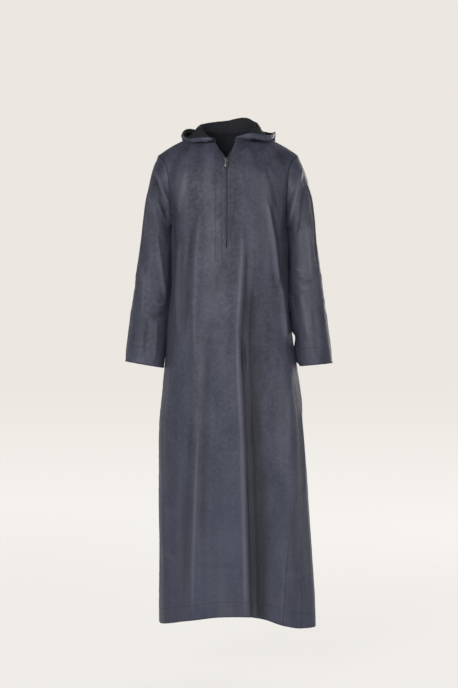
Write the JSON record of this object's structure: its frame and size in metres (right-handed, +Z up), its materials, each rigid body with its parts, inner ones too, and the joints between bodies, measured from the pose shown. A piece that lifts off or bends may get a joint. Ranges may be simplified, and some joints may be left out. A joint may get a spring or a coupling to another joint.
{
  "type": "hooded thobe robe",
  "caption": "Full-length hooded robe with side gores, long straight sleeves, a half-length front zip below an open V neck and the hood worn down.",
  "frame": {"origin": "between the shoulders at the base of the neck, where the wearer carries the robe", "axes": "+Z up, the front with the zip faces -Y, +X is the image's right"},
  "size_m": [0.5145, 0.3273, 1.2776],
  "materials": {
    "robe_cloth": "slate grey satin-faced cloth with a soft brushed sheen",
    "zip_tape": "dark woven zip tape with a moulded chain",
    "zip_metal": "polished dark nickel plate on die-cast metal"
  },
  "bodies": {
    "robe": {"front_panel": "robe_cloth", "back_panel": "robe_cloth", "front_gore_left": "robe_cloth", "front_gore_right": "robe_cloth", "back_gore_left": "robe_cloth", "back_gore_right": "robe_cloth", "sleeve_left": "robe_cloth", "sleeve_right": "robe_cloth", "hood_left": "robe_cloth", "hood_right": "robe_cloth", "zip_tape_left": "zip_tape", "zip_tape_right": "zip_tape", "zip_slider": "zip_metal"},
    "pull_tab": {"zip_pull_tab": "zip_metal"}
  },
  "joints": [
    {"name": "pull_tab_swing", "type": "hinge", "parent": "robe", "child": "pull_tab", "pos_m": [-0.00337, -0.09578, -0.05578], "axis": [-1, 0, 0], "range_deg": [0, 150]}
  ]
}
